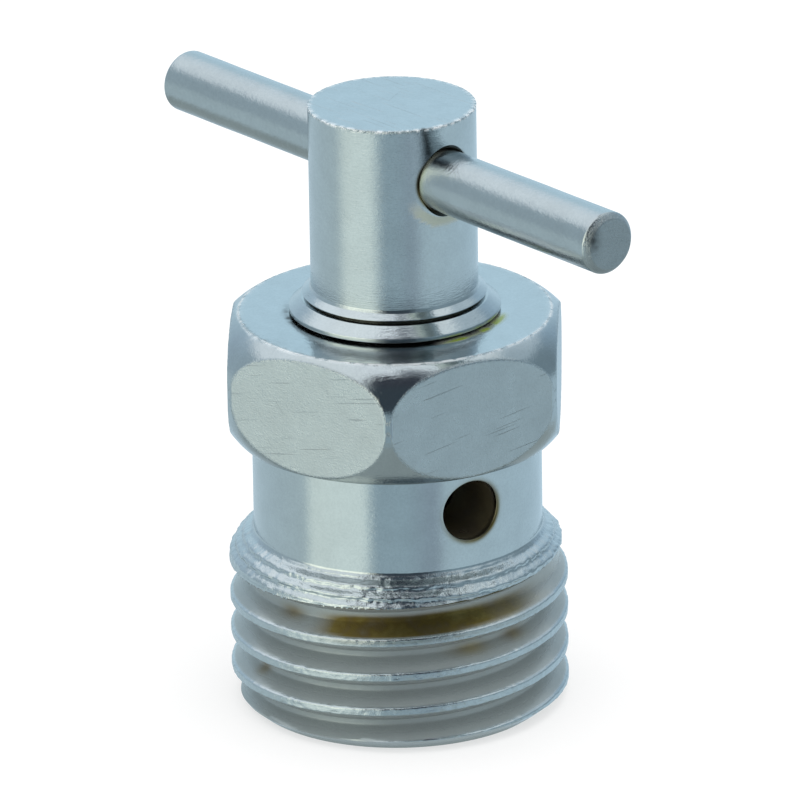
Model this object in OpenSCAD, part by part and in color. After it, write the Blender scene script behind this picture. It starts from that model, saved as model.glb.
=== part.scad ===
// Manual air vent with a tommy-bar spindle: nickel-plated brass screw-down bleed valve.
// Millimetres, +Z up the axis. Origin: centre of the threaded end face.
// The vent hole leaves along +X. Drawn closed: the seat pad rests on the seat lip.

/* [Body] */
// Crest diameter of the M14 x 1.5 connection thread
thread_d = 13.85; // [13.7:0.05:14]
// Pitch of the connection thread
thread_pitch = 1.5; // [1.25:0.25:1.5]
// Height of the threaded section up to the start of its shoulder bevel
thread_len = 6.5; // [6:0.1:6.8]
// Height at which the shoulder bevel meets the neck
neck_z = 7.4; // [7.2:0.1:8]
// Diameter of the plain neck
neck_d = 11.8; // [10:0.1:12]
// Underside of the hexagon
hex_z = 11.6; // [11.4:0.1:11.8]
// Height of the hexagon
hex_h = 5.1; // [5:0.1:5.3]
// Hexagon across flats
hex_af = 13.3; // [13:0.1:13.6]
// Angle between the vent hole and the nearest flat
hex_turn = -3; // [-30:1:30]
// Height of the full-width land on the hexagon's corners above the underside
land_rise = 2.6; // [2.4:0.1:2.7]
// Height of that land
land_h = 0.4; // [0.2:0.1:0.6]
// Radius of the flat top face, where the round-over above the land ends
top_face_r = 6.35; // [6.3:0.01:6.5]
// Radius of the flat underside, where the round-over below the land ends
low_face_r = 6.58; // [6.4:0.01:6.7]
// Lead chamfer at the threaded end
end_ch = 0.6; // [0.2:0.1:1]

/* [Water way] */
// Diameter of the inlet bore
inlet_d = 7; // [4:0.1:8]
// Depth of the inlet bore
inlet_depth = 4.2; // [3:0.1:4.6]
// Diameter of the orifice through the seat
orifice_d = 3; // [2:0.1:4]
// Floor of the chamber around the seat lip
floor_z = 6.2; // [5.8:0.1:6.4]
// Top of the seat lip
seat_z = 6.9; // [6.7:0.1:7.3]
// Diameter of the chamber bore
chamber_d = 5.6; // [5.6:0.1:5.8]
// Diameter of the side vent hole
vent_d = 2.5; // [1.5:0.1:3]
// Height of the vent hole axis
vent_z = 9.85; // [8:0.05:10]

/* [Spindle] */
// Crest diameter of the M7 x 1 spindle thread
stem_d = 6.9; // [6.8:0.05:7]
// Diameter of the knob
knob_d = 6.8; // [6.6:0.1:7]
// Top face of the knob
knob_top = 25.5; // [25:0.1:28]
// Diameter of the collar rim
collar_d = 8.6; // [8.4:0.1:9.4]
// Gap between the hexagon's top face and the collar
collar_gap = 0.1; // [0.1:0.05:0.25]
// Diameter of the tommy bar
bar_d = 2.55; // [2.3:0.05:2.8]
// Length of the tommy bar
bar_len = 26.8; // [20:0.1:30]
// Height of the tommy bar axis
bar_z = 23.1; // [20:0.1:23.5]
// Direction the tommy bar points when the valve is shut
bar_turn = 9.2; // [-90:0.1:90]

/* [Seal parts] */
// Diameter of the seat pad
pad_d = 4.6; // [4:0.1:5]
// Thickness of the seat pad
pad_h = 1.2; // [0.9:0.1:1.4]
// Diameter of the jumper head
jumper_d = 5.0; // [4.6:0.1:5.4]
// Diameter of the jumper pin
pin_d = 2.0; // [1.5:0.1:2.5]

/* [Hidden] */
$fn = 96;
hex_top = hex_z + hex_h;
collar_z = hex_top + collar_gap;
land_z = hex_z + land_rise;
stem_pitch = 1;
hex_r = hex_af / sqrt(3);
land_r = hex_r - 0.07;  // turned land that takes the edge off each corner
root_depth = 0.5633 * thread_pitch;
root_r = thread_d / 2 - root_depth;
stem_r = stem_d / 2;
mid_r = 3.175;
tan30 = tan(30);
seg = 48;
head_z = seat_z + pad_h;
tip_z = head_z + 0.8;

brass = [0.76, 0.78, 0.80];

// One closed helical cutter: a four-sided section swept up a right-hand helix.
// r1, w1: radius and width of the section on the inside, r2, w2: on the outside.
// The section is centred at height z0 where the angle is 0 and runs from angle a0 to a1.
// fade: degrees over which the inner side rises to r2 at the upper end (0 = none).
module helix_cutter(pitch, z0, a0, a1, r1, w1, r2, w2, fade = 0) {
    n = ceil((a1 - a0) / 360 * seg);
    step = (a1 - a0) / n;
    pts = [for (i = [0:n])
        let (a = a0 + i * step, z = z0 + pitch * a / 360,
             k = fade > 0 ? max(0, (a - (a1 - fade)) / fade) : 0,
             ri = r1 + (r2 - 0.04 - r1) * k, wi = w1 + (w2 - w1) * k * 0.9)
        for (p = [[ri, -wi / 2], [r2, -w2 / 2], [r2, w2 / 2], [ri, wi / 2]])
            [p[0] * cos(a), p[0] * sin(a), z + p[1]]];
    sides = [for (i = [0:n - 1]) for (j = [0:3])
        let (p = 4 * i + j, q = 4 * i + (j + 1) % 4)
        for (t = [[p, q, q + 4], [p, q + 4, p + 4]]) t];
    caps = [[0, 2, 1], [0, 3, 2], [4 * n, 4 * n + 1, 4 * n + 2], [4 * n, 4 * n + 2, 4 * n + 3]];
    polyhedron(points = pts, faces = concat(sides, caps), convexity = 10);
}

// Turned outline of the body: threaded section, shoulder, neck.
module body_blank() {
    rotate_extrude()
        polygon([[0, 0], [thread_d / 2 - 0.72, 0], [thread_d / 2, end_ch],
                 [thread_d / 2, thread_len], [neck_d / 2, neck_z],
                 [neck_d / 2, hex_z + 0.5], [0, hex_z + 0.5]]);
}

// Points of a round-over that starts upright at the land and turns inwards.
// rise: its height, inset: how far it comes in. dir: 1 above the land, -1 below it.
function round_over(z, rise, inset, dir, steps = 5) =
    let (radius = (rise * rise + inset * inset) / (2 * inset), end = 2 * atan2(inset, rise))
    [for (i = [0:steps]) let (a = end * i / steps)
        [land_r - radius * (1 - cos(a)), z + dir * radius * sin(a)]];

// Hexagon with turned, rounded corners.
module hex_head() {
    top_z = land_z + land_h;
    below = round_over(land_z, land_rise, land_r - low_face_r, -1);
    above = round_over(top_z, hex_top - top_z, land_r - top_face_r, 1);
    intersection() {
        translate([0, 0, hex_z])
            rotate([0, 0, hex_turn + 30]) cylinder(r = hex_r, h = hex_h, $fn = 6);
        rotate_extrude()
            polygon(concat([[0, hex_z]], [for (i = [len(below) - 1:-1:0]) below[i]],
                           above, [[0, hex_top]]));
    }
}

// Inlet bore, orifice, chamber with seat lip, thread bore and countersink as one turned void.
module water_way() {
    cr = chamber_d / 2;
    rotate_extrude()
        polygon([[0, -1], [inlet_d / 2 + 0.3, -1], [inlet_d / 2 + 0.3, 0],
                 [inlet_d / 2, 0.3], [inlet_d / 2, inlet_depth],
                 [orifice_d / 2, inlet_depth + 0.8], [orifice_d / 2, seat_z],
                 [orifice_d / 2 + 0.25, seat_z], [orifice_d / 2 + 0.6, floor_z],
                 [cr, floor_z], [cr, 13.4], [3.65, 13.4], [3.65, 13.9], [2.96, 13.9 + 0.4],
                 [2.96, hex_top - 0.55], [3.85, hex_top - 0.1], [3.85, hex_top + 1],
                 [0, hex_top + 1]]);
}

module valve_body() {
    color(brass)
    difference() {
        union() {
            body_blank();
            hex_head();
        }
        water_way();
        translate([0, 0, vent_z]) rotate([0, 90, 0]) cylinder(d = vent_d, h = 10);
        // connection thread: groove between crests, fading out on the shoulder
        helix_cutter(thread_pitch, -0.27, -170, 360 * (thread_len - 0.0625) / thread_pitch,
                     root_r, thread_pitch / 6, thread_d / 2 + 0.06,
                     thread_pitch / 6 + 2 * (root_depth + 0.06) * tan30, 90);
        // spindle thread in the bore, cut outward from the bore wall
        helix_cutter(stem_pitch, 0, 360 * 13.55, 360 * 16.95, 2.86,
                     0.56 - 2 * (2.86 - mid_r) * tan30, 3.55, 0.56 - 2 * (3.55 - mid_r) * tan30);
    }
}

// Turned outline of the spindle from its tip to the knob top.
module spindle_blank() {
    kr = knob_d / 2;
    collar_r = collar_d / 2;
    rotate_extrude()
        polygon([[0, tip_z], [1.9, tip_z], [2.0, tip_z + 0.1], [2.0, 10.9], [2.75, 11.2],
                 [2.75, 11.35], [1.95, 11.35], [1.95, 12.45], [2.75, 12.45], [2.75, 13.5],
                 [2.86, 13.6], [stem_r - 0.35, 13.6], [stem_r, 13.95], [stem_r, 16.1],
                 [2.8, 16.35], [2.8, collar_z],
                 [collar_r - 0.06, collar_z], [collar_r, collar_z + 0.05],
                 [collar_r, collar_z + 0.14], [collar_r - 0.06, collar_z + 0.2],
                 [3.84, collar_z + 0.52], [3.76, collar_z + 0.55],
                 [3.56, collar_z + 0.56], [3.5, collar_z + 0.62],
                 [3.5, collar_z + 0.68], [3.56, collar_z + 0.72],
                 [3.7, collar_z + 0.73], [3.72, collar_z + 0.76],
                 [3.46, collar_z + 0.93], [kr, collar_z + 1.06],
                 [kr, knob_top - 0.08], [kr - 0.08, knob_top], [0, knob_top]]);
}

module spindle() {
    color(brass)
    difference() {
        spindle_blank();
        // cross hole for the bar with a small countersink at each mouth
        translate([0, 0, bar_z]) rotate([0, 0, bar_turn]) rotate([0, 90, 0])
            translate([0, 0, -6]) cylinder(d = bar_d, h = 12);
        for (s = [0, 180]) translate([0, 0, bar_z]) rotate([0, 0, bar_turn + s]) rotate([0, 90, 0])
            translate([0, 0, knob_d / 2 - 0.45]) cylinder(r1 = bar_d / 2, r2 = bar_d / 2 + 0.85, h = 0.85);
        // blind bore for the jumper pin
        translate([0, 0, tip_z - 1]) cylinder(d = pin_d + 0.1, h = 4.4);
        // spindle thread: groove between crests
        helix_cutter(stem_pitch, 0.5, 360 * 12.75, 360 * 16.1, 2.87,
                     0.56 + 2 * (2.87 - mid_r) * tan30, stem_r + 0.05,
                     0.56 + 2 * (stem_r + 0.05 - mid_r) * tan30);
    }
}

module tommy_bar() {
    color([0.72, 0.74, 0.76])
    translate([0, 0, bar_z]) rotate([0, 0, bar_turn]) rotate([0, 90, 0])
        rotate_extrude()
            polygon([[0, -bar_len / 2], [bar_d / 2 - 0.25, -bar_len / 2],
                     [bar_d / 2, -bar_len / 2 + 0.25], [bar_d / 2, bar_len / 2 - 0.25],
                     [bar_d / 2 - 0.25, bar_len / 2], [0, bar_len / 2]]);
}

// Squeezed ring in the groove of the spindle, sealing on the chamber bore.
module stem_o_ring() {
    color([0.08, 0.08, 0.08])
    rotate_extrude() {
        translate([1.95, 11.9 - 0.12]) square([0.84, 0.24]);
        for (s = [-0.12, 0.12]) translate([1.95 + 0.42, 11.9 + s]) circle(r = 0.42);
    }
}

// Loose brass jumper: its pin turns freely in the spindle, its head carries the pad.
module seat_jumper() {
    color([0.78, 0.62, 0.32])
    rotate_extrude()
        polygon([[0, head_z], [jumper_d / 2, head_z], [jumper_d / 2, tip_z - 0.12],
                 [jumper_d / 2 - 0.1, tip_z - 0.02], [pin_d / 2, tip_z - 0.02],
                 [pin_d / 2, tip_z + 2.8], [pin_d / 2 - 0.2, tip_z + 3.0], [0, tip_z + 3.0]]);
}

module seat_pad() {
    color([0.12, 0.12, 0.13])
    translate([0, 0, seat_z]) cylinder(d = pad_d, h = pad_h);
}

valve_body();
spindle();
tommy_bar();
stem_o_ring();
seat_jumper();
seat_pad();
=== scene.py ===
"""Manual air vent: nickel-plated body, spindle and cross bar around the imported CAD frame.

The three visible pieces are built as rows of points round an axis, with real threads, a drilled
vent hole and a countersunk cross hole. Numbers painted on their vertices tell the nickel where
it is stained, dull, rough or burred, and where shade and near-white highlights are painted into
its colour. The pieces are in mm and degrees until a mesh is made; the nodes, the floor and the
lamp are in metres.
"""
import math

import bmesh
import bpy
import numpy as np
from mathutils import Matrix, Vector


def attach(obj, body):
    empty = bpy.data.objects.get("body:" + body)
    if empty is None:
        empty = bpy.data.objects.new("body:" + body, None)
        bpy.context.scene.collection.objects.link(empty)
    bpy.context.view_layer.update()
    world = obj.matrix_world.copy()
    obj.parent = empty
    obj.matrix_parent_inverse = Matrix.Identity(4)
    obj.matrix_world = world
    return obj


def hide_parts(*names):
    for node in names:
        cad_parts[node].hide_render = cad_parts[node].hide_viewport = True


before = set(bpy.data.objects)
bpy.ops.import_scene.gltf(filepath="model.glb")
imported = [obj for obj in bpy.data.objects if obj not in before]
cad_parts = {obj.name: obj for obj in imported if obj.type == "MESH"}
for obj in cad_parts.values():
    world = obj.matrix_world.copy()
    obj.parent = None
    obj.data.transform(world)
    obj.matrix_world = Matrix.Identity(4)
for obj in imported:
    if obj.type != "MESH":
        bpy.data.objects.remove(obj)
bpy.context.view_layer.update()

MM = 0.001
TAN30 = math.tan(math.radians(30))
RNG = np.random.RandomState

# ---------------------------------------------------------------- dimensions in mm, angles in degrees
THREAD_R = 6.925
THREAD_PITCH = 1.5
THREAD_DEPTH = 0.845
THREAD_ZERO = -0.27         # height of the groove's centre at angle 0
GROOVE_FLOOR = 0.125        # half the width of the groove's floor
NECK_R = 5.9
HEX_Z = 11.6
HEX_TOP = 16.7
HEX_FLAT = 6.65             # from the axis to a flat
HEX_TURN = -3
LAND_R = HEX_FLAT / math.cos(math.radians(30)) - 0.07
LAND_LOW = 14.2
LAND_HIGH = 14.6
TOP_FACE_R = 6.35
LOW_FACE_R = 6.58
VENT_Z = 9.85
VENT_R = 1.25
CHAMBER_R = 2.8
SEAT_BORE_R = 1.5
INLET_R = 3.5
STEM_BORE_R = 3.56
STEM_R = 3.45
STEM_ROOT_R = 2.87
STEM_PITCH_R = 3.175
STEM_GAP = 0.56             # width of the stem's groove at its pitch line
STEM_PITCH = 1.0
STEM_ZERO = 0.5             # height of the stem groove's centre at angle 0
SOCKET_TOP = 12.3           # end of the jumper's socket in the stem
COLLAR_Z = 16.8
COLLAR_R = 4.3
KNOB_R = 3.4
KNOB_TOP = 25.5
BAR_R = 1.275
BAR_LEN = 26.8
BAR_Z = 23.1
BAR_TURN = 9.2
BAR_HOLE_R = BAR_R + 0.02
BAR_SINK = 0.2              # depth of the countersink round the cross hole
VENT_WINDOW = 36            # from the middle of the vent's window to its edge, in degrees
BAR_WINDOW = 33             # the same for the cross hole's windows

# height and radius of what limits each thread, from its lower end to its upper end
THREAD_LIMIT = ((0, 6.205), (0.6, THREAD_R), (6.25, THREAD_R), (6.5, 6.83), (6.85, 6.6), (7.15, 6.3),
                (7.42, 5.93), (7.5, NECK_R))
STEM_LIMIT = ((13.5, 2.86), (13.6, 3.1), (13.95, STEM_R), (16.1, STEM_R), (16.35, 2.8))
# angles along the thread's spiral: the groove widens over the first pair, ends over the second
GROOVE_WIDENS = (1230, 1330)
GROOVE_ENDS = (1440, 1548)
GROOVE_EXTRA = 0.19         # how much it widens
TORN_RING_PITCH = 0.37      # rings of the torn shoulder above the thread

# ---------------------------------------------------------------- camera and colours
CAMERA_AZ = math.radians(59.6)
CAMERA_EL = math.radians(21.03)
CAMERA_ROLL = math.radians(-0.88)
CAMERA_DISTANCE = 400.4
CAMERA_LENS = 442.98
AIM_RIGHT = 0.150           # the point the camera looks at
AIM_Z = 12.725

PLATE = (0.60, 0.64, 0.65)
STAIN_DARK = (0.15, 0.10, 0.020)
STAIN_PALE = (0.27, 0.215, 0.075)
SPECK = (0.30, 0.33, 0.34)
DULL = (0.20, 0.23, 0.24)
MATTE = (0.20, 0.245, 0.24)
SCRATCH = (0.12, 0.14, 0.14)
# near-black, for real soot marks and for painted shade in holes, creases and under the collar
SOOT_AND_SHADE = (0.02, 0.018, 0.014)
CHALK = (0.36, 0.41, 0.33)
GREEN = (0.24, 0.33, 0.035)
# near-white, a painted highlight for burred edges
PAINTED_GLINT = (0.88, 0.92, 0.94)


# ---------------------------------------------------------------- small maths
def smin(a, b, k):
    """Smooth minimum: rounds the crossing of two surfaces over about k."""
    h = np.clip(0.5 + 0.5 * (b - a) / k, 0, 1)
    return b + (a - b) * h - k * h * (1 - h)


def smax(a, b, k):
    return -smin(-a, -b, k)


def step(x, lo, hi):
    """0 below lo, 1 above hi, smooth between."""
    t = np.clip((x - lo) / (hi - lo), 0, 1)
    return t * t * (3 - 2 * t)


def bell(x, width, power=2):
    """1 where x is 0, fading on both sides over about the width."""
    return np.exp(-(x / width) ** power)


def highest(*maps):
    """The highest of several maps at each point."""
    return np.maximum.reduce(maps)


def lattice(theta, z, around, cell, seed):
    """Smooth seeded noise in -1..1, periodic round the axis; cell is its height in mm."""
    rows = 257
    theta, z = np.broadcast_arrays(np.asarray(theta, float), np.asarray(z, float))
    table = RNG(seed).uniform(-1, 1, (rows, around))
    u = (theta / 360 * around) % around
    v = (z / cell) % rows
    col = np.floor(u).astype(int)
    row = np.floor(v).astype(int)
    fu = step(u - col, 0, 1)
    fv = step(v - row, 0, 1)
    this_col = col % around
    next_col = (col + 1) % around

    def along(r):
        return table[r % rows, this_col] * (1 - fu) + table[r % rows, next_col] * fu

    return along(row) * (1 - fv) + along(row + 1) * fv


def rounded(points, radius, n=4):
    """A profile line with each inner corner rounded; radius is one number or one per corner."""
    out = [points[0]]
    for i in range(1, len(points) - 1):
        before, corner, after = (np.array(points[k], float) for k in (i - 1, i, i + 1))
        r = radius if np.isscalar(radius) else radius[i - 1]
        if r == 0:
            out.append(tuple(corner))
            continue
        back = before - corner
        ahead = after - corner
        back_len = np.linalg.norm(back)
        ahead_len = np.linalg.norm(ahead)
        back = back / back_len
        ahead = ahead / ahead_len
        half = math.acos(max(-1, min(1, float(back @ ahead)))) / 2
        cut = min(r / max(math.tan(half), 1e-6), 0.45 * back_len, 0.45 * ahead_len)
        start = corner + back * cut
        end = corner + ahead * cut
        for t in np.linspace(0, 1, n + 1):
            out.append(tuple((1 - t) ** 2 * start + 2 * t * (1 - t) * corner + t ** 2 * end))
    out.append(points[-1])
    return out


def subdivided(points, gap):
    """Extra points so that no step of a profile line is longer than gap."""
    out = [points[0]]
    for p, q in zip(points, points[1:]):
        n = max(1, int(math.ceil(math.dist(p, q) / gap)))
        out += [(p[0] + (q[0] - p[0]) * k / n, p[1] + (q[1] - p[1]) * k / n) for k in range(1, n + 1)]
    return out


def one_pitch(flank):
    """Fractions of a pitch, from half a pitch below the groove's centre, dense on both flanks."""
    return [-0.5] + [-f for f in reversed(flank)] + [0.0] + flank


# ---------------------------------------------------------------- turned work as rows of points
class Turned:
    """Rows of points round +Z. A row's radius and height may vary with the angle."""

    def __init__(self, theta):
        self.theta = np.asarray(theta, float)
        self.cols = len(self.theta)
        self.rows = []
        self.cut = []
        self.extra = []
        self.faces = []

    def row(self, r, z):
        r = np.broadcast_to(np.asarray(r, float), self.theta.shape)
        z = np.broadcast_to(np.asarray(z, float), self.theta.shape)
        self.rows.append((r.copy(), z.copy()))
        return len(self.rows) - 1

    def profile(self, points):
        return [self.row(r, z) for r, z in points]

    def helix(self, z_lo, z_hi, pitch, zero, radius, fractions):
        """Rows that follow a right-hand thread between two heights."""
        lowest = z_lo - pitch * self.theta.max() / 360 - pitch
        top = z_hi - pitch * self.theta.min() / 360 + pitch
        first = math.floor((lowest - zero) / pitch)
        last = math.ceil((top - zero) / pitch)
        for n in range(first, last + 1):
            for f in fractions:
                z = np.clip(zero + (n + f) * pitch + pitch * self.theta / 360, z_lo, z_hi)
                self.row(radius(self.theta, z), z)

    def nearest(self, angle):
        """The column closest to an angle."""
        return int(np.argmin(abs(self.theta - angle)))

    def xyz(self, r, z, theta):
        a = np.radians(theta)
        return np.stack([r * np.cos(a), r * np.sin(a), np.broadcast_to(z, np.shape(a))], -1)

    def window(self, low, top, c0, c1):
        """Leaves out the faces of a window and returns its border, anticlockwise from below left."""
        way = 1 if top > low else -1
        self.cut.append((min(low, top), max(low, top), c0, c1))
        border = [(low, c) for c in range(c0, c1)]
        border += [(i, c1) for i in range(low, top, way)]
        border += [(top, c) for c in range(c1, c0, -1)]
        border += [(i, c0) for i in range(top, low, -way)]
        return border

    def add_loop(self, pts):
        base = len(self.extra)
        self.extra += [tuple(p) for p in pts]
        return [("x", base + k) for k in range(len(pts))]

    def bridge(self, a, b):
        """Faces between two loops of equal length."""
        n = len(a)
        self.faces += [(a[k], a[(k + 1) % n], b[(k + 1) % n], b[k]) for k in range(n)]

    def drill(self, border, at, zc, hole_r, wall_r, depths, rim=0.0, sink=0.0, phi=None):
        """Fills a window with a patch round a radial hole, the hole's edge and its wall.

        rim rounds the edge; sink gives it a 45-degree countersink of that depth instead. phi
        holds each point's angle round the hole and is worked out from the border if not given.
        """
        th = np.array([self.theta[c] for _, c in border]) - at
        zz = np.array([self.rows[i][1][c] for i, c in border])
        if phi is None:
            phi = np.arctan2(zz - zc, np.radians(th) * wall_r)
        edge = hole_r + rim + 0 * phi
        if sink:
            # where the countersink's cone meets the round wall
            c = 1 + np.cos(phi) ** 2
            k = wall_r - sink - hole_r
            edge = (-k + np.sqrt(k * k - c * (k * k - wall_r ** 2))) / c
        a = math.radians(at)
        outward = np.array([math.cos(a), math.sin(a), 0])
        sideways = np.array([-math.sin(a), math.cos(a), 0])
        last = border

        def add(points):
            nonlocal last
            loop = self.add_loop(points)
            self.bridge(last, loop)
            last = loop

        def ring(radius, out):
            return (np.outer(out, outward) + np.outer(radius * np.cos(phi), sideways)
                    + np.outer(zc + radius * np.sin(phi), [0, 0, 1]))

        def on_wall(radius, depth):
            return ring(radius, np.sqrt(wall_r ** 2 - (radius * np.cos(phi)) ** 2) - depth)

        edge_th = np.degrees(np.arcsin(edge * np.cos(phi) / wall_r))
        edge_z = zc + edge * np.sin(phi)
        for s in (0.8, 0.6, 0.44, 0.3, 0.2, 0.12, 0.06, 0.02, 0.0):
            add(self.xyz(wall_r, edge_z + (zz - edge_z) * s, at + edge_th + (th - edge_th) * s))
        if sink:
            for s in (0.05, 0.12, 0.3, 0.5, 0.7, 0.9, 1.0):
                q = edge + (hole_r - edge) * s
                add(ring(q, wall_r - sink + q - hole_r - 0.012 * math.sin(math.pi * s)))
            for d in depths:
                add(ring(hole_r, wall_r - sink - d + 0 * phi))
            return last, phi
        if rim:
            for b in np.linspace(0, 90, 6)[1:]:
                b = math.radians(b)
                add(on_wall(hole_r + rim * (1 - math.sin(b)), rim * (1 - math.cos(b))))
        for d in depths:
            add(on_wall(hole_r, d))
        return last, phi

    def build(self, name, closed):
        """The finished mesh object. closed joins the last row to the first."""
        cols = self.cols
        pts = np.concatenate([self.xyz(r, z, self.theta) for r, z in self.rows])
        pts = np.concatenate([pts, np.array(self.extra, float).reshape(-1, 3)])
        n = len(self.rows)
        grid = np.ones((n if closed else n - 1, cols - 1), bool)
        for a, b, c0, c1 in self.cut:
            grid[a:b, c0:c1] = False
        i, j = np.nonzero(grid)
        k = (i + 1) % n
        faces = np.stack([i * cols + j, i * cols + j + 1, k * cols + j + 1, k * cols + j], 1).tolist()

        def index(v):
            return n * cols + v[1] if v[0] == "x" else v[0] * cols + v[1]

        faces += [[index(v) for v in f] for f in self.faces]
        mesh = bpy.data.meshes.new(name)
        mesh.from_pydata((pts * MM).tolist(), [], faces)
        bm = bmesh.new()
        bm.from_mesh(mesh)
        bmesh.ops.remove_doubles(bm, verts=bm.verts, dist=1.5e-7)
        bmesh.ops.dissolve_degenerate(bm, edges=bm.edges, dist=1e-8)
        bmesh.ops.recalc_face_normals(bm, faces=bm.faces)
        bm.to_mesh(mesh)
        bm.free()
        mesh.shade_smooth()
        mesh.set_sharp_from_angle(angle=math.radians(38))
        ob = bpy.data.objects.new(name, mesh)
        bpy.context.scene.collection.objects.link(ob)
        return ob


# ---------------------------------------------------------------- valve body
def thread_radius(theta, z):
    """Connection thread with its fading groove, end chamfer and rough shoulder."""
    turn = np.round(((z - THREAD_ZERO) / THREAD_PITCH * 360 - theta) / 360)
    a = theta + 360 * turn
    dz = z - (THREAD_ZERO + THREAD_PITCH * a / 360)
    dz = np.abs(dz - np.clip(dz, 0, GROOVE_EXTRA * step(a, *GROOVE_WIDENS)))
    half = GROOVE_FLOOR + THREAD_DEPTH * TAN30
    flank = THREAD_R - (half - dz) / TAN30
    flank = smin(flank, np.full_like(z, THREAD_R), 0.05)
    root = THREAD_R - THREAD_DEPTH * (1 - step(a, *GROOVE_ENDS))
    r = smax(flank, root, 0.07)
    limit = np.interp(z, *zip(*THREAD_LIMIT))
    tear = step(z, 6.2, 6.45) * (1 - step(z, 7.25, 7.45))
    phase = (z + 0.1 * theta / 360) * 2 * math.pi / TORN_RING_PITCH
    rings = 0.052 * np.sin(phase + 1.3 * lattice(theta, z, 7, 3, 5))
    lumps = 0.026 * lattice(theta, z, 130, 0.13, 11) + 0.018 * lattice(theta, z, 300, 0.08, 12)
    r = smin(r, limit - 0.03 * tear, 0.04) + tear * (rings + lumps)
    at_crest = step(r, THREAD_R - 0.25, THREAD_R - 0.02)
    return r + 0.014 * lattice(theta, z, 260, 0.12, 21) * at_crest * (1 - tear)


def arc_radius(rise, inset):
    """Radius of an arc that starts upright and comes in by inset over a height of rise."""
    return (rise ** 2 + inset ** 2) / (2 * inset)


TOP_ARC = arc_radius(HEX_TOP - LAND_HIGH, LAND_R - TOP_FACE_R)
LOW_ARC = arc_radius(LAND_LOW - HEX_Z, LAND_R - LOW_FACE_R)


def barrel(z):
    """Turned outline of the hexagon's corners: a short land with a round-over on each side."""
    up = np.clip(z - LAND_HIGH, 0, HEX_TOP - LAND_HIGH)
    down = np.clip(LAND_LOW - z, 0, LAND_LOW - HEX_Z)
    inset = TOP_ARC - np.sqrt(TOP_ARC ** 2 - up ** 2) + LOW_ARC - np.sqrt(LOW_ARC ** 2 - down ** 2)
    return LAND_R - inset


def hex_radius(theta):
    """The hexagon's outline, its corners cut by the land, all crossings slightly rounded."""
    r = np.full(np.shape(theta), LAND_R)
    for k in range(6):
        a = (theta - HEX_TURN - 60 * k + 180) % 360 - 180
        flat = np.where(np.abs(a) < 75, HEX_FLAT / np.cos(np.radians(np.clip(a, -75, 75))), 99.0)
        r = smin(r, flat, 0.03)
    return r


def flat_ends(theta):
    """The outline's radius, and where its wall meets the lower and the upper round-over."""
    r = hex_radius(theta)
    inset = np.clip(LAND_R - r, 0, None)
    low = LAND_LOW - np.sqrt(LOW_ARC ** 2 - (LOW_ARC - inset) ** 2)
    high = LAND_HIGH + np.sqrt(TOP_ARC ** 2 - (TOP_ARC - inset) ** 2)
    return r, low, high


def hexagon_rows(t):
    """Rows of the hexagon from its underside to its top face, close together at every edge."""
    t.profile(rounded([(NECK_R, HEX_Z - 0.08), (NECK_R, HEX_Z), (6.4, HEX_Z)], 0.05)[1:])
    t.row(6.5, HEX_Z)
    t.row(6.55, HEX_Z + 0.006)
    r, low, high = flat_ends(t.theta)
    width = np.minimum(1, (high - low) / 1.2)

    def wall_row(z):
        wall = smin(r, barrel(z), 0.05)
        chatter = 0.010 * lattice(t.theta, z, 420, 0.11, 31) + 0.006 * lattice(t.theta, z, 90, 0.5, 32)
        near_edges = bell(z - high, 0.12) + bell(z - low, 0.12)
        t.row(wall + chatter * near_edges + 0.003 * lattice(t.theta, z, 40, 1.1, 33), z)

    for f in (0.0, 0.05, 0.12, 0.22, 0.34, 0.47, 0.6, 0.72, 0.83, 0.92):
        wall_row(HEX_Z + 0.02 + (low - HEX_Z - 0.02) * f)
    near = (-0.04, -0.02, 0.0, 0.02, 0.04, 0.08, 0.13, 0.2)
    for d in near:
        wall_row(low + d * width)
    for f in np.linspace(0.06, 0.94, 17):
        wall_row(low + 0.2 * width + (high - low - 0.4 * width) * f)
    for d in reversed(near):
        wall_row(high - d * width)
    for f in (0.08, 0.18, 0.3, 0.42, 0.54, 0.66, 0.77, 0.87, 0.95, 1.0):
        wall_row(high + 0.04 * width + (HEX_TOP - 0.035 - high - 0.04 * width) * f)
    for q, drop in ((6.385, 0.018), (6.355, 0.006), (6.32, 0.001)):
        jag = lattice(t.theta, q, 330, 0.03, 34)
        t.row(q + 0.022 * jag, HEX_TOP - drop - 0.012 * abs(lattice(t.theta, q, 280, 0.03, 35)))
    for q in (6.27, 6.1, 5.8, 5.4, 5.1, 4.9, 4.75, 4.62, 4.54, 4.47):
        t.row(q, HEX_TOP)


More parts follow.
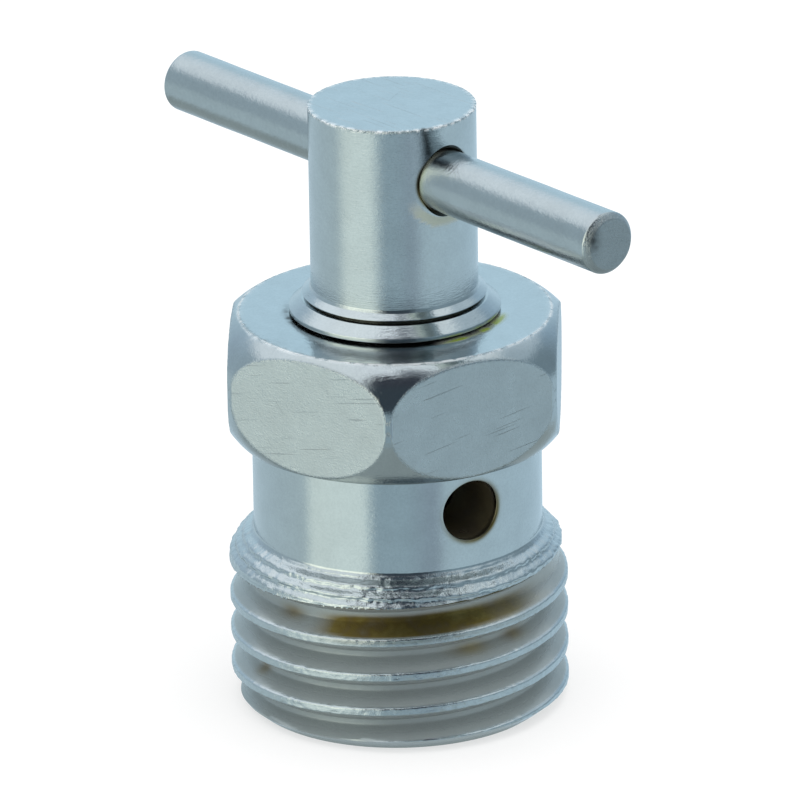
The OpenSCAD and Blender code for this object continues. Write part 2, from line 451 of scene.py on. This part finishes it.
def build_body():
    theta = set(np.round(np.arange(-180, 180.01, 0.6), 4))
    near = (0, 0.2, 0.4, 0.55, 0.7, 0.9, 1.2, 1.6)
    for corner in (HEX_TURN + 30 + 60 * k for k in range(-4, 4)):
        angles = [corner + d for d in near] + [corner - d for d in near]
        theta |= {round(a, 4) for a in angles if -180 < a < 180}
    t = Turned(sorted(theta))
    # end face and thread
    for r in (3.8, 4.6, 5.4, 6.0):
        t.row(r, 0.0)
    flank = [0.04, 0.07, 0.09, 0.11, 0.14, 0.19, 0.24, 0.29, 0.34, 0.38, 0.395, 0.41, 0.425, 0.44, 0.47]
    t.helix(0.0, 6.6, THREAD_PITCH, THREAD_ZERO, thread_radius, one_pitch(flank))
    for z in np.arange(6.63, 7.53, 0.03):
        t.row(thread_radius(t.theta, np.full_like(t.theta, z)), z)
    # neck, with the rows of the vent's window
    t.row(NECK_R, 7.6)
    t.row(NECK_R, 7.9)
    outer_rows = [t.row(NECK_R, z) for z in np.linspace(8.15, 11.5, 13)]
    hexagon_rows(t)
    # countersink and spindle bore, then the chamber with the rows of the vent's inner window
    t.profile(rounded([(4.4, HEX_TOP), (4.02, HEX_TOP), (3.85, HEX_TOP - 0.15),
                       (STEM_BORE_R, HEX_TOP - 0.55), (STEM_BORE_R, 13.4)], 0.06))
    t.row(CHAMBER_R, 13.35)
    t.row(CHAMBER_R, 12.4)
    inner_rows = [t.row(CHAMBER_R, z) for z in np.linspace(11.45, 8.2, 13)]
    # chamber floor and seat lip, orifice, inlet
    t.profile([(CHAMBER_R, 7.4), (CHAMBER_R, 6.25), (2.75, 6.2), (2.12, 6.2), (2.08, 6.24), (1.77, 6.86),
               (1.74, 6.9), (1.52, 6.9), (SEAT_BORE_R, 6.88), (SEAT_BORE_R, 5.02), (1.52, 4.98),
               (3.46, 4.22), (INLET_R, 4.18), (INLET_R, 0.34), (3.53, 0.28), (3.78, 0.02)])
    # vent hole, open to the chamber
    left = t.nearest(-VENT_WINDOW)
    right = t.nearest(VENT_WINDOW)
    outer = t.window(outer_rows[0], outer_rows[-1], left, right)
    inner = t.window(inner_rows[-1], inner_rows[0], left, right)
    front, phi = t.drill(outer, 0, VENT_Z, VENT_R, NECK_R, (0.15, 0.5, 1.0, 1.8, 2.4), rim=0.07)
    back, _ = t.drill(inner, 0, VENT_Z, VENT_R, CHAMBER_R, (), phi=phi)
    t.bridge(front, back)
    return t.build("valve_body_shell", closed=True)


# ---------------------------------------------------------------- spindle
def stem_radius(theta, z):
    """Stem thread with its two ends."""
    turn = np.round(((z - STEM_ZERO) / STEM_PITCH * 360 - theta) / 360)
    dz = np.abs(z - (STEM_ZERO + STEM_PITCH * (theta + 360 * turn) / 360))
    half = (STEM_GAP + 2 * (STEM_R - STEM_PITCH_R) * TAN30) / 2
    r = np.clip(STEM_R - (half - dz) / TAN30, STEM_ROOT_R, STEM_R)
    return np.minimum(r, np.interp(z, *zip(*STEM_LIMIT)))


def build_spindle():
    start = BAR_TURN - 90
    t = Turned(np.linspace(start, start + 360, 481))
    # jumper socket, end of the stem, O-ring groove, thread
    t.row(0.0, SOCKET_TOP)
    t.profile([(1.05, SOCKET_TOP), (1.05, 8.92), (1.1, 8.9), (1.86, 8.9), (2.0, 9.02), (2.0, 10.9),
               (2.74, 11.19), (2.75, 11.22), (2.75, 11.33), (2.73, 11.35), (1.95, 11.35), (1.95, 12.45),
               (2.73, 12.45), (2.75, 12.47), (2.75, 13.48)])
    flank = [0.1, 0.2, 0.28, 0.36, 0.44, 0.45]
    t.helix(13.5, 16.35, STEM_PITCH, STEM_ZERO, stem_radius, one_pitch(flank))
    # collar, with a groove between its two steps
    line = [(2.8, -0.44), (2.8, 0), (COLLAR_R, 0), (COLLAR_R, 0.17), (3.81, 0.57), (3.66, 0.6), (3.52, 0.62),
            (3.52, 0.69), (3.7, 0.71), (3.76, 0.75), (3.46, 0.96), (KNOB_R, 1.08), (KNOB_R, 1.6)]
    line = [(r, COLLAR_Z + z) for r, z in line]
    line = rounded(line, [0.05, 0.05, 0.05, 0.05, 0.03, 0.03, 0.02, 0.02, 0.03, 0.03, 0.05, 0.08])
    t.profile(subdivided(line, 0.12))
    # knob, with the rows of the cross hole's windows
    for z in (18.6, 18.9, 19.2):
        t.row(KNOB_R, z)
    heights = np.linspace(19.6, 25.36, 30)
    rows = [t.row(KNOB_R, z) for z in heights]
    # burred top edge and top face
    line = rounded([(KNOB_R, 25.38), (KNOB_R, KNOB_TOP), (2.8, KNOB_TOP)], 0.09, 6)
    for r, z in subdivided(line, 0.2)[1:]:
        edge = bell(r - KNOB_R, 0.1) * (z > KNOB_TOP - 0.09)
        burr = 0.014 * edge * lattice(t.theta, z, 300, 0.03, 61)
        t.row(r + burr, z - 0.008 * edge * abs(lattice(t.theta, r, 240, 0.03, 62)))
    for q in (2.4, 1.8, 1.2, 0.6, 0.0):
        t.row(q, KNOB_TOP)
    low = rows[int(np.argmin(abs(heights - 21.3)))]
    top = rows[int(np.argmin(abs(heights - 24.95)))]
    for at in (BAR_TURN, BAR_TURN + 180):
        border = t.window(low, top, t.nearest(at - BAR_WINDOW), t.nearest(at + BAR_WINDOW))
        loop, _ = t.drill(border, at, BAR_Z, BAR_HOLE_R, KNOB_R, (0.3, 0.6, 1.2), sink=BAR_SINK)
        t.faces.append(tuple(loop))
    return t.build("spindle_knob", closed=False)


# ---------------------------------------------------------------- cross bar
def build_bar():
    """A slightly uneven pin with bevelled ends, turned about +Z and then laid in the knob."""
    t = Turned(np.linspace(0, 360, 97))
    h = BAR_LEN / 2
    end_r = BAR_R - 0.24
    line = rounded([(0.0, -h), (end_r, -h), (BAR_R, -h + 0.26), (BAR_R, 0), (BAR_R, h - 0.26),
                    (end_r, h), (0.0, h)], [0.13, 0.13, 0, 0.13, 0.13], 5)
    for r, z in subdivided(line, 0.22):
        wave = 0.006 * lattice(t.theta, z, 7, 1.7, 41) if r > 1.0 else 0
        t.row(r + wave, z)
    ob = t.build("cross_bar", closed=False)
    turn = Matrix.Rotation(math.radians(BAR_TURN), 4, "Z") @ Matrix.Rotation(math.radians(90), 4, "Y")
    ob.data.transform(Matrix.Translation((0, 0, BAR_Z * MM)) @ turn)
    return ob


# ---------------------------------------------------------------- numbers painted on the vertices
NICKEL_LOOKS = ("stain", "soot", "worn", "dull", "grit", "matte", "chalk", "green", "glint")


def paint(ob, name, values):
    """A per-vertex number from 0 to 1 that a material can read."""
    at = ob.data.attributes.new(name, "FLOAT", "POINT")
    at.data.foreach_set("value", np.clip(np.asarray(values, np.float32), 0, 1))


def paint_looks(ob, **looks):
    """Every look of the nickel, 0 where the piece doesn't name it."""
    nothing = np.zeros(len(ob.data.vertices))
    for name in NICKEL_LOOKS:
        paint(ob, name, looks.get(name, nothing))


def paint_scratches(ob, where, u, v, sheet):
    """Where straight scratches show, and the flat coordinates they lie in, within 10 mm."""
    paint(ob, "flat", where)
    paint(ob, "flat_u", u / 10)
    paint(ob, "flat_v", v / 10)
    paint(ob, "flat_k", sheet)


class Points:
    """The vertices of a piece: x, y, z, angle th and radius rad, and their place by the bar."""

    def __init__(self, ob):
        co = np.zeros(len(ob.data.vertices) * 3, np.float32)
        ob.data.vertices.foreach_get("co", co)
        self.x, self.y, self.z = (co.reshape(-1, 3).astype(float) / MM).T
        self.th = np.degrees(np.arctan2(self.y, self.x))
        self.rad = np.hypot(self.x, self.y)
        a = math.radians(BAR_TURN)
        self.along_bar = self.x * math.cos(a) + self.y * math.sin(a)
        self.across_bar = self.y * math.cos(a) - self.x * math.sin(a)
        # to the right of the bar, for someone who looks at the nearer end of it
        self.right = self.across_bar * np.sign(self.along_bar)


def paint_body(ob):
    p = Points(ob)
    th, rad, z = p.th, p.rad, p.z
    depth = THREAD_R - rad
    outside = rad > 5.8
    inside = ((rad < 5.6) & (z < 16.3)) | (rad < 3.95)
    groove = step(depth, 0.15, 0.7) * (z < 6.6) * outside

    # brown stain where the last groove runs out, and small spots of it lower down
    groove_z = THREAD_ZERO + THREAD_PITCH * (4 + th / 360)
    spread = step(th, -68, -46) * (1 - 0.45 * step(th, -20, 10)) * (1 - step(th, 12, 38))
    in_groove = spread * bell(z - (groove_z - 0.3), 0.42, 4) * outside * (z < 6.3) * step(depth, 0.05, 0.25)
    on_crest = 0.2 * spread * bell(z - (groove_z - 0.7), 0.1) * outside
    groove_stain = highest(in_groove, on_crest)
    spots = sum(bell(th - angle, width) * bell(z - height, 0.25) * groove
                for angle, width, height in ((-3, 8, 4.02), (17, 6, 4.12), (-94, 4, 2.2), (-75, 6, 5.3)))

    # stain round the vent hole, strongest below right
    vent_d = np.hypot(p.y, z - VENT_Z)
    vent_side = np.sin(np.arctan2(z - VENT_Z, p.y) + math.radians(135))
    vent_rim = (rad > 5.0) * (p.x > 0) * bell(vent_d - 1.3, 0.12) * np.clip(0.55 + 0.45 * vent_side, 0.1, 1)

    # on the top face, green residue on one side of the collar's gap and darker patches on another
    at_top = z > 16.6
    residue = at_top * bell(rad - 4.48, 0.13) * step(th, -12, 6) * (1 - step(th, 40, 54))
    residue *= 0.5 + 0.8 * step(lattice(th, rad, 60, 0.3, 53), -0.5, 0.3)
    dark_by_collar = at_top * (rad > 4.2) * bell(th + 108, 16) * bell(rad - 4.42, 0.14)
    dark_by_collar *= 0.45 + 0.55 * step(lattice(th, rad, 110, 0.15, 52), -0.4, 0.3)

    # machined faces and edges
    outline, low, high = flat_ends(th)
    on_hex = (z > HEX_Z + 0.02) * (z < HEX_TOP - 0.005) * (rad > 6.2)
    on_flat = on_hex * (z > low + 0.02) * (z < high - 0.02) * (outline < LAND_R - 0.03)
    flat_edge = bell(z - high, 0.07) + bell(z - low, 0.07)
    top_edge = (z > HEX_TOP - 0.3) * bell(rad - 6.36, 0.06)
    top_face = (z > HEX_TOP - 0.01) * (rad > 4.2)
    shoulder = step(z, 5.9, 6.3) * (1 - step(z, 7.35, 7.6)) * (rad > 5.93)
    crests = step(rad, 6.85, 6.91) * (z < 6.4)
    # painted highlight: near-white dashes along the hexagon's top edge
    glint_dashes = step(lattice(th, z, 210, 0.05, 71), -0.6, 0.15) * (0.7 + 0.3 * lattice(th, z, 24, 1.0, 72))
    top_edge_glint = (z > HEX_TOP - 0.16) * bell(rad - 6.36, 0.07) * glint_dashes
    thread_matte = 0.62 * step(depth, 0.07, 0.18) * (z < 6.25) * outside
    unstained = 1 - 0.9 * np.clip(1.5 * groove_stain, 0, 1)

    paint_looks(
        ob,
        stain=highest(groove_stain * 1.6, spots * 0.7, vent_rim, inside * 0.8),
        # the dark look here is painted shade inside the bores, the chamber and the vent hole, where the
        # brown stain also lies, and darker patches on the top face beside the collar
        soot=highest(inside * 0.6, dark_by_collar * 0.95),
        worn=highest(groove * 0.8, on_flat * 0.6, shoulder * 0.1, crests * 0.1, top_face * 0.03),
        dull=highest(on_flat * 0.15, on_hex * (1 - on_flat) * 0.3, groove * 0.2),
        grit=highest(on_hex * flat_edge * 0.9, top_edge, shoulder * 0.22, crests * 0.3, groove * 0.35,
                     on_flat * 0.3, on_hex * 0.04),
        matte=highest(thread_matte * unstained, inside * 0.6),
        green=residue,
        glint=0.95 * top_edge_glint,
    )
    side = np.floor((th - HEX_TURN + 30) / 60)
    a = np.radians(HEX_TURN + 60 * side)
    along_flat = p.y * np.cos(a) - p.x * np.sin(a)
    paint_scratches(ob, on_flat, along_flat + 5, z - HEX_Z, (side % 6) / 6)


def paint_knob(ob):
    p = Points(ob)
    th, rad, z = p.th, p.rad, p.z
    at_hole = (z > 20) * (rad > 2.5)
    hole_d = np.hypot(p.across_bar, z - BAR_Z)
    sink = at_hole * step(hole_d, 1.28, 1.32) * (1 - step(hole_d, 1.46, 1.53)) * (rad < KNOB_R - 0.006)
    gap = at_hole * bell(hole_d - 1.3, 0.07)
    deep_in_hole = (hole_d < 1.3) * (z > 20) * (rad < 3.0)
    collar_groove = bell(z - (COLLAR_Z + 0.64), 0.06) * (rad < 3.62)
    under_collar = z < COLLAR_Z + 0.02

    # chalky ring below left of each cross hole, and a dark streak down from the top edge
    hole_phi = np.degrees(np.arctan2(z - BAR_Z, p.right))
    below_left = step(hole_phi, -162, -132) * (1 - step(hole_phi, -78, -52))
    ring = at_hole * step(hole_d, 1.46, 1.53) * (1 - step(hole_d, 1.84, 1.93)) * below_left
    streak = bell(th + 8 - 3 * (25.4 - z), 2.4) * step(z, 24.2, 24.4) * (rad > KNOB_R - 0.05)

    # rough top edge, with painted highlights in dashes along it
    at_edge = rad > KNOB_R - 0.1
    rough_edge = at_edge * bell(z - (KNOB_TOP - 0.05), 0.07)
    glint_dashes = step(lattice(th, z, 200, 0.05, 73), -0.2, 0.4) * at_edge * bell(z - (KNOB_TOP - 0.03), 0.04)

    paint_looks(
        ob,
        stain=highest(gap, sink * 0.2, collar_groove * 0.7),
        # the dark look here is painted shade deep in the cross hole, under the collar, on the lower part of
        # the gap round the bar, in the collar's groove and on one side of each countersink, and a dark mark
        # in the streak
        soot=highest(deep_in_hole * 0.8, under_collar * 0.35, gap * step(z, BAR_Z - 0.9, BAR_Z + 0.3),
                     collar_groove * 0.5, 0.8 * sink * step(-p.right, -0.6, 0.3), 0.7 * streak),
        worn=highest((z < COLLAR_Z) * 0.4, sink * 0.4),
        dull=sink * 0.3,
        grit=rough_edge,
        chalk=0.8 * ring,
        glint=0.8 * glint_dashes,
    )
    paint_scratches(ob, (z > KNOB_TOP - 0.01) * 0.8, p.x + 5, p.y + 5, np.full_like(z, 0.45))


def paint_bar(ob):
    """Dull metal with worn, gouged ends, and green residue where the bar enters the knob."""
    p = Points(ob)
    out = np.abs(p.along_bar)
    end = step(out, BAR_LEN / 2 - 0.3, BAR_LEN / 2 - 0.1)
    gouge = bell(p.right + 0.86, 0.26) * bell(p.z - BAR_Z - 0.35, 0.45) * end
    gouge *= 0.7 + 0.3 * lattice(p.right * 60, p.z, 40, 0.12, 74)
    paint_looks(
        ob,
        soot=0.9 * gouge,
        worn=end * 0.8,
        dull=0.33 + 0.45 * end,
        grit=end * 0.9,
        green=0.5 * (1 - step(out, 3.1, 3.5)) * step(-p.right, -0.2, 0.5),
    )


# ---------------------------------------------------------------- node trees
class Tree:
    """Short calls for a node tree."""

    def __init__(self, nt):
        self.nt = nt

    def new(self, kind, **settings):
        n = self.nt.nodes.new(kind)
        for name, value in settings.items():
            setattr(n, name, value)
        return n

    def put(self, socket, value):
        """Links a socket or sets a value; None leaves the input as it is."""
        if isinstance(value, bpy.types.NodeSocket):
            self.nt.links.new(value, socket)
        elif value is not None:
            socket.default_value = value

    def math(self, op, a, b=None, c=None, clamp=False):
        n = self.new("ShaderNodeMath", operation=op, use_clamp=clamp)
        for socket, value in zip(n.inputs, (a, b, c)):
            self.put(socket, value)
        return n.outputs[0]

    def ramp(self, fac, stops):
        """stops: pairs of a position and a number or colour."""
        n = self.new("ShaderNodeValToRGB")
        self.put(n.inputs[0], fac)
        elements = n.color_ramp.elements
        while len(elements) < len(stops):
            elements.new(0.5)
        for el, (pos, col) in zip(elements, stops):
            el.position = pos
            el.color = (col, col, col, 1) if np.isscalar(col) else (*col, 1)
        return n.outputs[0]

    def mix(self, fac, a, b):
        n = self.new("ShaderNodeMix", data_type="RGBA")
        self.put(n.inputs[0], fac)
        for socket, value in ((n.inputs[6], a), (n.inputs[7], b)):
            self.put(socket, value if isinstance(value, bpy.types.NodeSocket) else (*value, 1))
        return n.outputs[2]


class Material(Tree):
    """A new material, with calls for its textures, bumps and shader."""

    def __init__(self, name):
        self.mat = bpy.data.materials.new(name)
        self.mat.use_nodes = True
        super().__init__(self.mat.node_tree)
        self.bsdf = self.nt.nodes["Principled BSDF"]

    def surface(self, name, value):
        """Links or sets an input of the shader."""
        self.put(self.bsdf.inputs[name], value)

    def attr(self, name):
        return self.new("ShaderNodeAttribute", attribute_name=name).outputs["Fac"]

    def coords(self, scale=(1, 1, 1)):
        c = self.new("ShaderNodeTexCoord")
        m = self.new("ShaderNodeMapping")
        m.inputs["Scale"].default_value = scale
        self.put(m.inputs["Vector"], c.outputs["Object"])
        return m.outputs[0]

    def noise(self, vector, scale, detail=3, rough=0.5):
        n = self.new("ShaderNodeTexNoise")
        n.inputs["Scale"].default_value = scale
        n.inputs["Detail"].default_value = detail
        n.inputs["Roughness"].default_value = rough
        self.put(n.inputs["Vector"], vector)
        return n.outputs["Fac"]

    def bump(self, height, strength, distance, normal=None):
        n = self.new("ShaderNodeBump")
        self.put(n.inputs["Strength"], strength)
        n.inputs["Distance"].default_value = distance
        self.put(n.inputs["Height"], height)
        self.put(n.inputs["Normal"], normal)
        return n.outputs[0]

    def scratches(self):
        """Sparse straight scratches in two directions, in the painted flat coordinates."""
        lines = []
        for slope, seed, threshold in ((11, 3.0, 0.71), (-52, 11.0, 0.78)):
            plane = self.new("ShaderNodeCombineXYZ")
            for socket, name in zip(plane.inputs, ("flat_u", "flat_v", "flat_k")):
                self.put(socket, self.attr(name))
            m = self.new("ShaderNodeMapping", vector_type="TEXTURE")
            m.inputs["Rotation"].default_value = (0, 0, math.radians(slope))
            m.inputs["Scale"].default_value = (0.30, 0.006, 0.1)
            m.inputs["Location"].default_value = (seed, 0, 0)
            self.put(m.inputs["Vector"], plane.outputs[0])
            noise = self.noise(m.outputs[0], 1.0, 1, 0.4)
            lines.append(self.ramp(noise, [(threshold, 0.0), (threshold + 0.05, 1.0)]))
        return self.math("MAXIMUM", *lines)


# ---------------------------------------------------------------- materials
def nickel(name, rough, grain, grain_strength, scratched=False, turned=True):
    """Nickel plate: directional marks, soft blotches, fine specks, and the painted looks.

    stain is brown; soot is near-black, real soot on some marks and painted shade in holes, creases
    and under the collar; chalk and green are residues; glint is a near-white painted highlight along
    burred edges. worn and stain raise the roughness, dull and matte darken, grit adds sparkling
    roughness. Matte, residues and the painted highlights are less metallic. scratched also reads the
    flat coordinates.
    """
    m = Material(name)
    blotch = m.noise(m.coords(), 900, 4, 0.6)
    fine = m.noise(m.coords(grain), 1.0, 4, 0.7)
    coarse = m.noise(m.coords(), 16000, 2, 0.6)
    pits = m.ramp(m.noise(m.coords(), 5200, 2, 0.5), [(0.62, 0.0), (0.72, 1.0)])
    speck = m.ramp(m.noise(m.coords(), 9000, 2, 0.7), [(0.38, 0.0), (0.62, 1.0)])
    patch = m.noise(m.coords(), 900, 3, 0.55)
    stain = m.math("MULTIPLY", m.attr("stain"), m.ramp(patch, [(0.3, 0.88), (0.5, 1.0)]), clamp=True)
    brown = m.mix(m.ramp(patch, [(0.4, 0.0), (0.7, 1.0)]), STAIN_DARK, STAIN_PALE)

    colour = m.mix(m.ramp(blotch, [(0.35, 0.0), (0.7, 1.0)]), PLATE, tuple(0.93 * c for c in PLATE))
    colour = m.mix(m.math("MULTIPLY", speck, 0.10), colour, SPECK)
    colour = m.mix(m.math("MULTIPLY", m.attr("dull"), 0.45), colour, DULL)
    colour = m.mix(m.attr("matte"), colour, MATTE)
    colour = m.mix(stain, colour, brown)
    normal = m.bump(fine, grain_strength, 0.00004)
    normal = m.bump(pits, 0.16, 0.00001, normal)
    normal = m.bump(coarse, m.math("MULTIPLY", m.attr("grit"), 0.9), 0.00006, normal)
    if scratched:
        marks = m.math("MULTIPLY", m.scratches(), m.attr("flat"))
        colour = m.mix(m.math("MULTIPLY", marks, 0.28), colour, SCRATCH)
        normal = m.bump(marks, 0.6, 0.00002, normal)
    # near-black soot and painted shade, residues, and near-white painted highlights on top
    for look, tint in (("soot", SOOT_AND_SHADE), ("chalk", CHALK), ("green", GREEN), ("glint", PAINTED_GLINT)):
        colour = m.mix(m.attr(look), colour, tint)

    roughness = m.math("MULTIPLY_ADD", blotch, 0.06, rough - 0.03)
    roughness = m.math("ADD", roughness, m.math("MULTIPLY", m.attr("worn"), 0.3))
    roughness = m.math("ADD", roughness, m.math("MULTIPLY", stain, 0.25))
    not_metal = m.attr("chalk")
    for look in ("green", "glint", "matte"):
        not_metal = m.math("MAXIMUM", not_metal, m.attr(look))

    m.surface("Base Color", colour)
    m.surface("Roughness", roughness)
    m.surface("Metallic", m.math("MULTIPLY_ADD", not_metal, -0.9, 1.0))
    m.surface("Normal", normal)
    if turned:
        tangent = m.new("ShaderNodeTangent", direction_type="RADIAL", axis="Z")
        m.surface("Tangent", tangent.outputs[0])
        m.surface("Anisotropic", 0.8)
        m.surface("Anisotropic Rotation", 0.25)
    return m.mat


def rubber(name, base):
    m = Material(name)
    f = m.noise(m.coords(), 3000, 3, 0.6)
    m.surface("Base Color", m.mix(f, base, tuple(1.8 * c for c in base)))
    m.surface("Roughness", m.ramp(f, [(0.3, 0.55), (0.7, 0.75)]))
    m.surface("Normal", m.bump(f, 0.3, 0.00002))
    return m.mat


def brass(name):
    m = Material(name)
    f = m.noise(m.coords((300, 300, 9000)), 1.0, 3, 0.6)
    m.surface("Base Color", m.mix(f, (0.50, 0.33, 0.11), (0.66, 0.47, 0.19)))
    m.surface("Roughness", m.ramp(f, [(0.3, 0.25), (0.7, 0.4)]))
    m.surface("Metallic", 1.0)
    m.surface("Normal", m.bump(f, 0.3, 0.00001))
    return m.mat


# ---------------------------------------------------------------- make the pieces
body = build_body()
knob = build_spindle()
bar = build_bar()
paint_body(body)
paint_knob(knob)
paint_bar(bar)
body.data.materials.append(nickel("nickel_body", 0.10, (3500, 3500, 12000), 0.17, scratched=True))
knob.data.materials.append(nickel("nickel_spindle", 0.10, (2500, 2500, 16000), 0.28, scratched=True))
bar.data.materials.append(nickel("nickel_bar", 0.16, (5000, 5000, 5000), 0.35, turned=False))

for piece, node, riding, slot in ((body, "valve_body", "valve_body", "nickel_body"),
                                  (knob, "spindle", "spindle", "nickel_spindle"),
                                  (bar, "tommy_bar", "spindle", "nickel_bar")):
    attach(piece, riding)
    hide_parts(node)

for node, mat in (("stem_o_ring", rubber("seal_rubber", (0.02, 0.02, 0.02))),
                  ("seat_pad", rubber("pad_rubber", (0.03, 0.03, 0.032))),
                  ("seat_jumper", brass("raw_brass"))):
    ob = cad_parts[node]
    ob.data.materials.clear()
    ob.data.materials.append(mat)


# ---------------------------------------------------------------- floor
def build_floor():
    half = 3.0
    corners = [(x * half, y * half, 0) for x, y in ((-1, -1), (1, -1), (1, 1), (-1, 1))]
    mesh = bpy.data.meshes.new("floor")
    mesh.from_pydata(corners, [], [(0, 1, 2, 3)])
    pale = Material("floor_pale")
    pale.surface("Base Color", (0.42, 0.42, 0.42, 1))
    pale.surface("Roughness", 1.0)
    pale.surface("Specular IOR Level", 0.0)
    pale.surface("Emission Color", (1.0, 1.0, 1.0, 1))
    pale.surface("Emission Strength", 0.58)
    mesh.materials.append(pale.mat)
    ob = bpy.data.objects.new("floor", mesh)
    ob.visible_glossy = False
    bpy.context.scene.collection.objects.link(ob)
    return ob


floor = build_floor()

# ---------------------------------------------------------------- surround: what the nickel reflects
world = bpy.data.worlds.new("studio")
bpy.context.scene.world = world
world.use_nodes = True
world.node_tree.nodes.clear()
studio = Tree(world.node_tree)
direction = studio.new("ShaderNodeSeparateXYZ")
studio.put(direction.inputs[0], studio.new("ShaderNodeTexCoord").outputs["Generated"])
heading = studio.math("ARCTAN2", direction.outputs[1], direction.outputs[0])
from_camera = studio.math("SUBTRACT", heading, -math.pi / 2 + CAMERA_AZ)
from_camera = studio.math("WRAP", from_camera, math.pi, -math.pi)
round_the_room = studio.math("MULTIPLY_ADD", from_camera, 1 / (2 * math.pi), 0.5)


def above(lo, hi):
    """0 below the elevation lo, 1 above hi."""
    n = studio.new("ShaderNodeMapRange", interpolation_type="SMOOTHSTEP")
    studio.put(n.inputs[0], direction.outputs[2])
    n.inputs[1].default_value = math.sin(math.radians(lo))
    n.inputs[2].default_value = math.sin(math.radians(hi))
    return n.outputs[0]


def round_view(stops):
    """Colours round the horizon, by angle from the camera, from -180 to 180."""
    return studio.ramp(round_the_room, [(0.5 + angle / 360, colour) for angle, colour in stops])


NIGHT = (0.05, 0.07, 0.09)
DUSK = (0.05, 0.06, 0.08)
SHADE = (0.10, 0.11, 0.12)
WINDOW = (1.45, 1.52, 1.34)
DAYLIGHT = (1.05, 1.12, 1.18)

ground = round_view([(-180, (0.40, 0.50, 0.56)), (-140, (0.35, 0.42, 0.43)), (140, (0.35, 0.42, 0.43)),
                     (180, (0.40, 0.50, 0.56))])
low = round_view([(-180, (0.55, 0.70, 0.80)), (-79, (0.52, 0.64, 0.68)), (-74, (0.85, 0.97, 0.94)),
                  (-26, (0.86, 0.99, 0.97)), (-20, (0.38, 0.51, 0.58)), (6, (0.37, 0.50, 0.57)),
                  (30, (0.33, 0.42, 0.50)), (38, (0.51, 0.66, 0.74)), (110, (0.52, 0.68, 0.78)),
                  (180, (0.56, 0.74, 0.87))])
mid = round_view([(-180, (0.62, 0.84, 0.98)), (-165, (0.60, 0.80, 0.92)), (-140, (0.48, 0.62, 0.74)),
                  (-120, (0.42, 0.54, 0.62)), (-79, (0.42, 0.52, 0.57)), (-74, WINDOW), (-26, WINDOW),
                  (-18, NIGHT), (22, NIGHT), (40, (0.24, 0.34, 0.40)), (118, (0.24, 0.33, 0.39)),
                  (142, (0.38, 0.53, 0.66)), (165, (0.60, 0.80, 0.94)), (180, (0.62, 0.84, 0.98))])
high = round_view([(-180, (0.90, 1.03, 1.14)), (-140, (1.00, 1.09, 1.16)), (-100, (1.00, 1.09, 1.15)),
                   (-74, (0.85, 0.93, 0.95)), (-28, (0.80, 0.88, 0.90)), (-20, NIGHT), (22, NIGHT),
                   (45, (0.40, 0.50, 0.57)), (120, (0.50, 0.62, 0.70)), (180, (0.90, 1.03, 1.14))])
upper = round_view([(-180, SHADE), (-171, SHADE), (-163, (1.05, 1.12, 1.16)), (-34, (1.02, 1.10, 1.14)),
                    (-24, DUSK), (28, DUSK), (40, (0.30, 0.34, 0.38)), (58, (0.30, 0.34, 0.38)),
                    (66, (0.84, 0.93, 0.96)), (163, (0.95, 1.04, 1.10)), (171, SHADE), (180, SHADE)])
zenith = round_view([(-180, DAYLIGHT), (4, DAYLIGHT), (16, (0.25, 0.28, 0.32)), (58, (0.25, 0.28, 0.32)),
                     (66, (0.95, 1.03, 1.08)), (180, DAYLIGHT)])
sky = ground
for lo, hi, band in ((-38, -30, low), (-8, 2, mid), (28, 37, high), (50, 56, upper), (73, 78, zenith)):
    sky = studio.mix(above(lo, hi), sky, band)
path = studio.new("ShaderNodeLightPath")
background = studio.new("ShaderNodeBackground")
studio.put(background.inputs[0], studio.mix(path.outputs["Is Glossy Ray"], (1.0, 1.0, 1.0), sky))
studio.put(studio.new("ShaderNodeOutputWorld").inputs[0], background.outputs[0])


# ---------------------------------------------------------------- lamp and camera
def build_lamp():
    lamp = bpy.data.lights.new("overhead_softbox", "AREA")
    lamp.shape = "RECTANGLE"
    lamp.size = 0.5
    lamp.size_y = 0.5
    lamp.energy = 1.2
    softbox = bpy.data.objects.new("overhead_softbox", lamp)
    softbox.location = (0.05, 0.0, 0.6)
    softbox.visible_glossy = False
    bpy.context.scene.collection.objects.link(softbox)


def build_camera():
    sin_az = math.sin(CAMERA_AZ)
    cos_az = math.cos(CAMERA_AZ)
    cos_el = math.cos(CAMERA_EL)
    sin_roll = math.sin(CAMERA_ROLL)
    cos_roll = math.cos(CAMERA_ROLL)
    back = Vector((sin_az * cos_el, -cos_az * cos_el, math.sin(CAMERA_EL)))
    right = Vector((cos_az, sin_az, 0))
    up = back.cross(right)
    aim = right * (AIM_RIGHT * MM) + Vector((0, 0, AIM_Z * MM))
    axes = (cos_roll * right + sin_roll * up, -sin_roll * right + cos_roll * up, back)
    pose = Matrix(axes).transposed().to_4x4()
    pose.translation = aim + back * (CAMERA_DISTANCE * MM)
    data = bpy.data.cameras.new("camera")
    data.sensor_width = 36
    data.lens = CAMERA_LENS
    data.clip_start = 0.01
    data.clip_end = 20
    camera = bpy.data.objects.new("camera", data)
    camera.matrix_world = pose
    bpy.context.scene.collection.objects.link(camera)
    bpy.context.scene.camera = camera


build_lamp()
build_camera()
bpy.context.scene.view_settings.view_transform = "Standard"
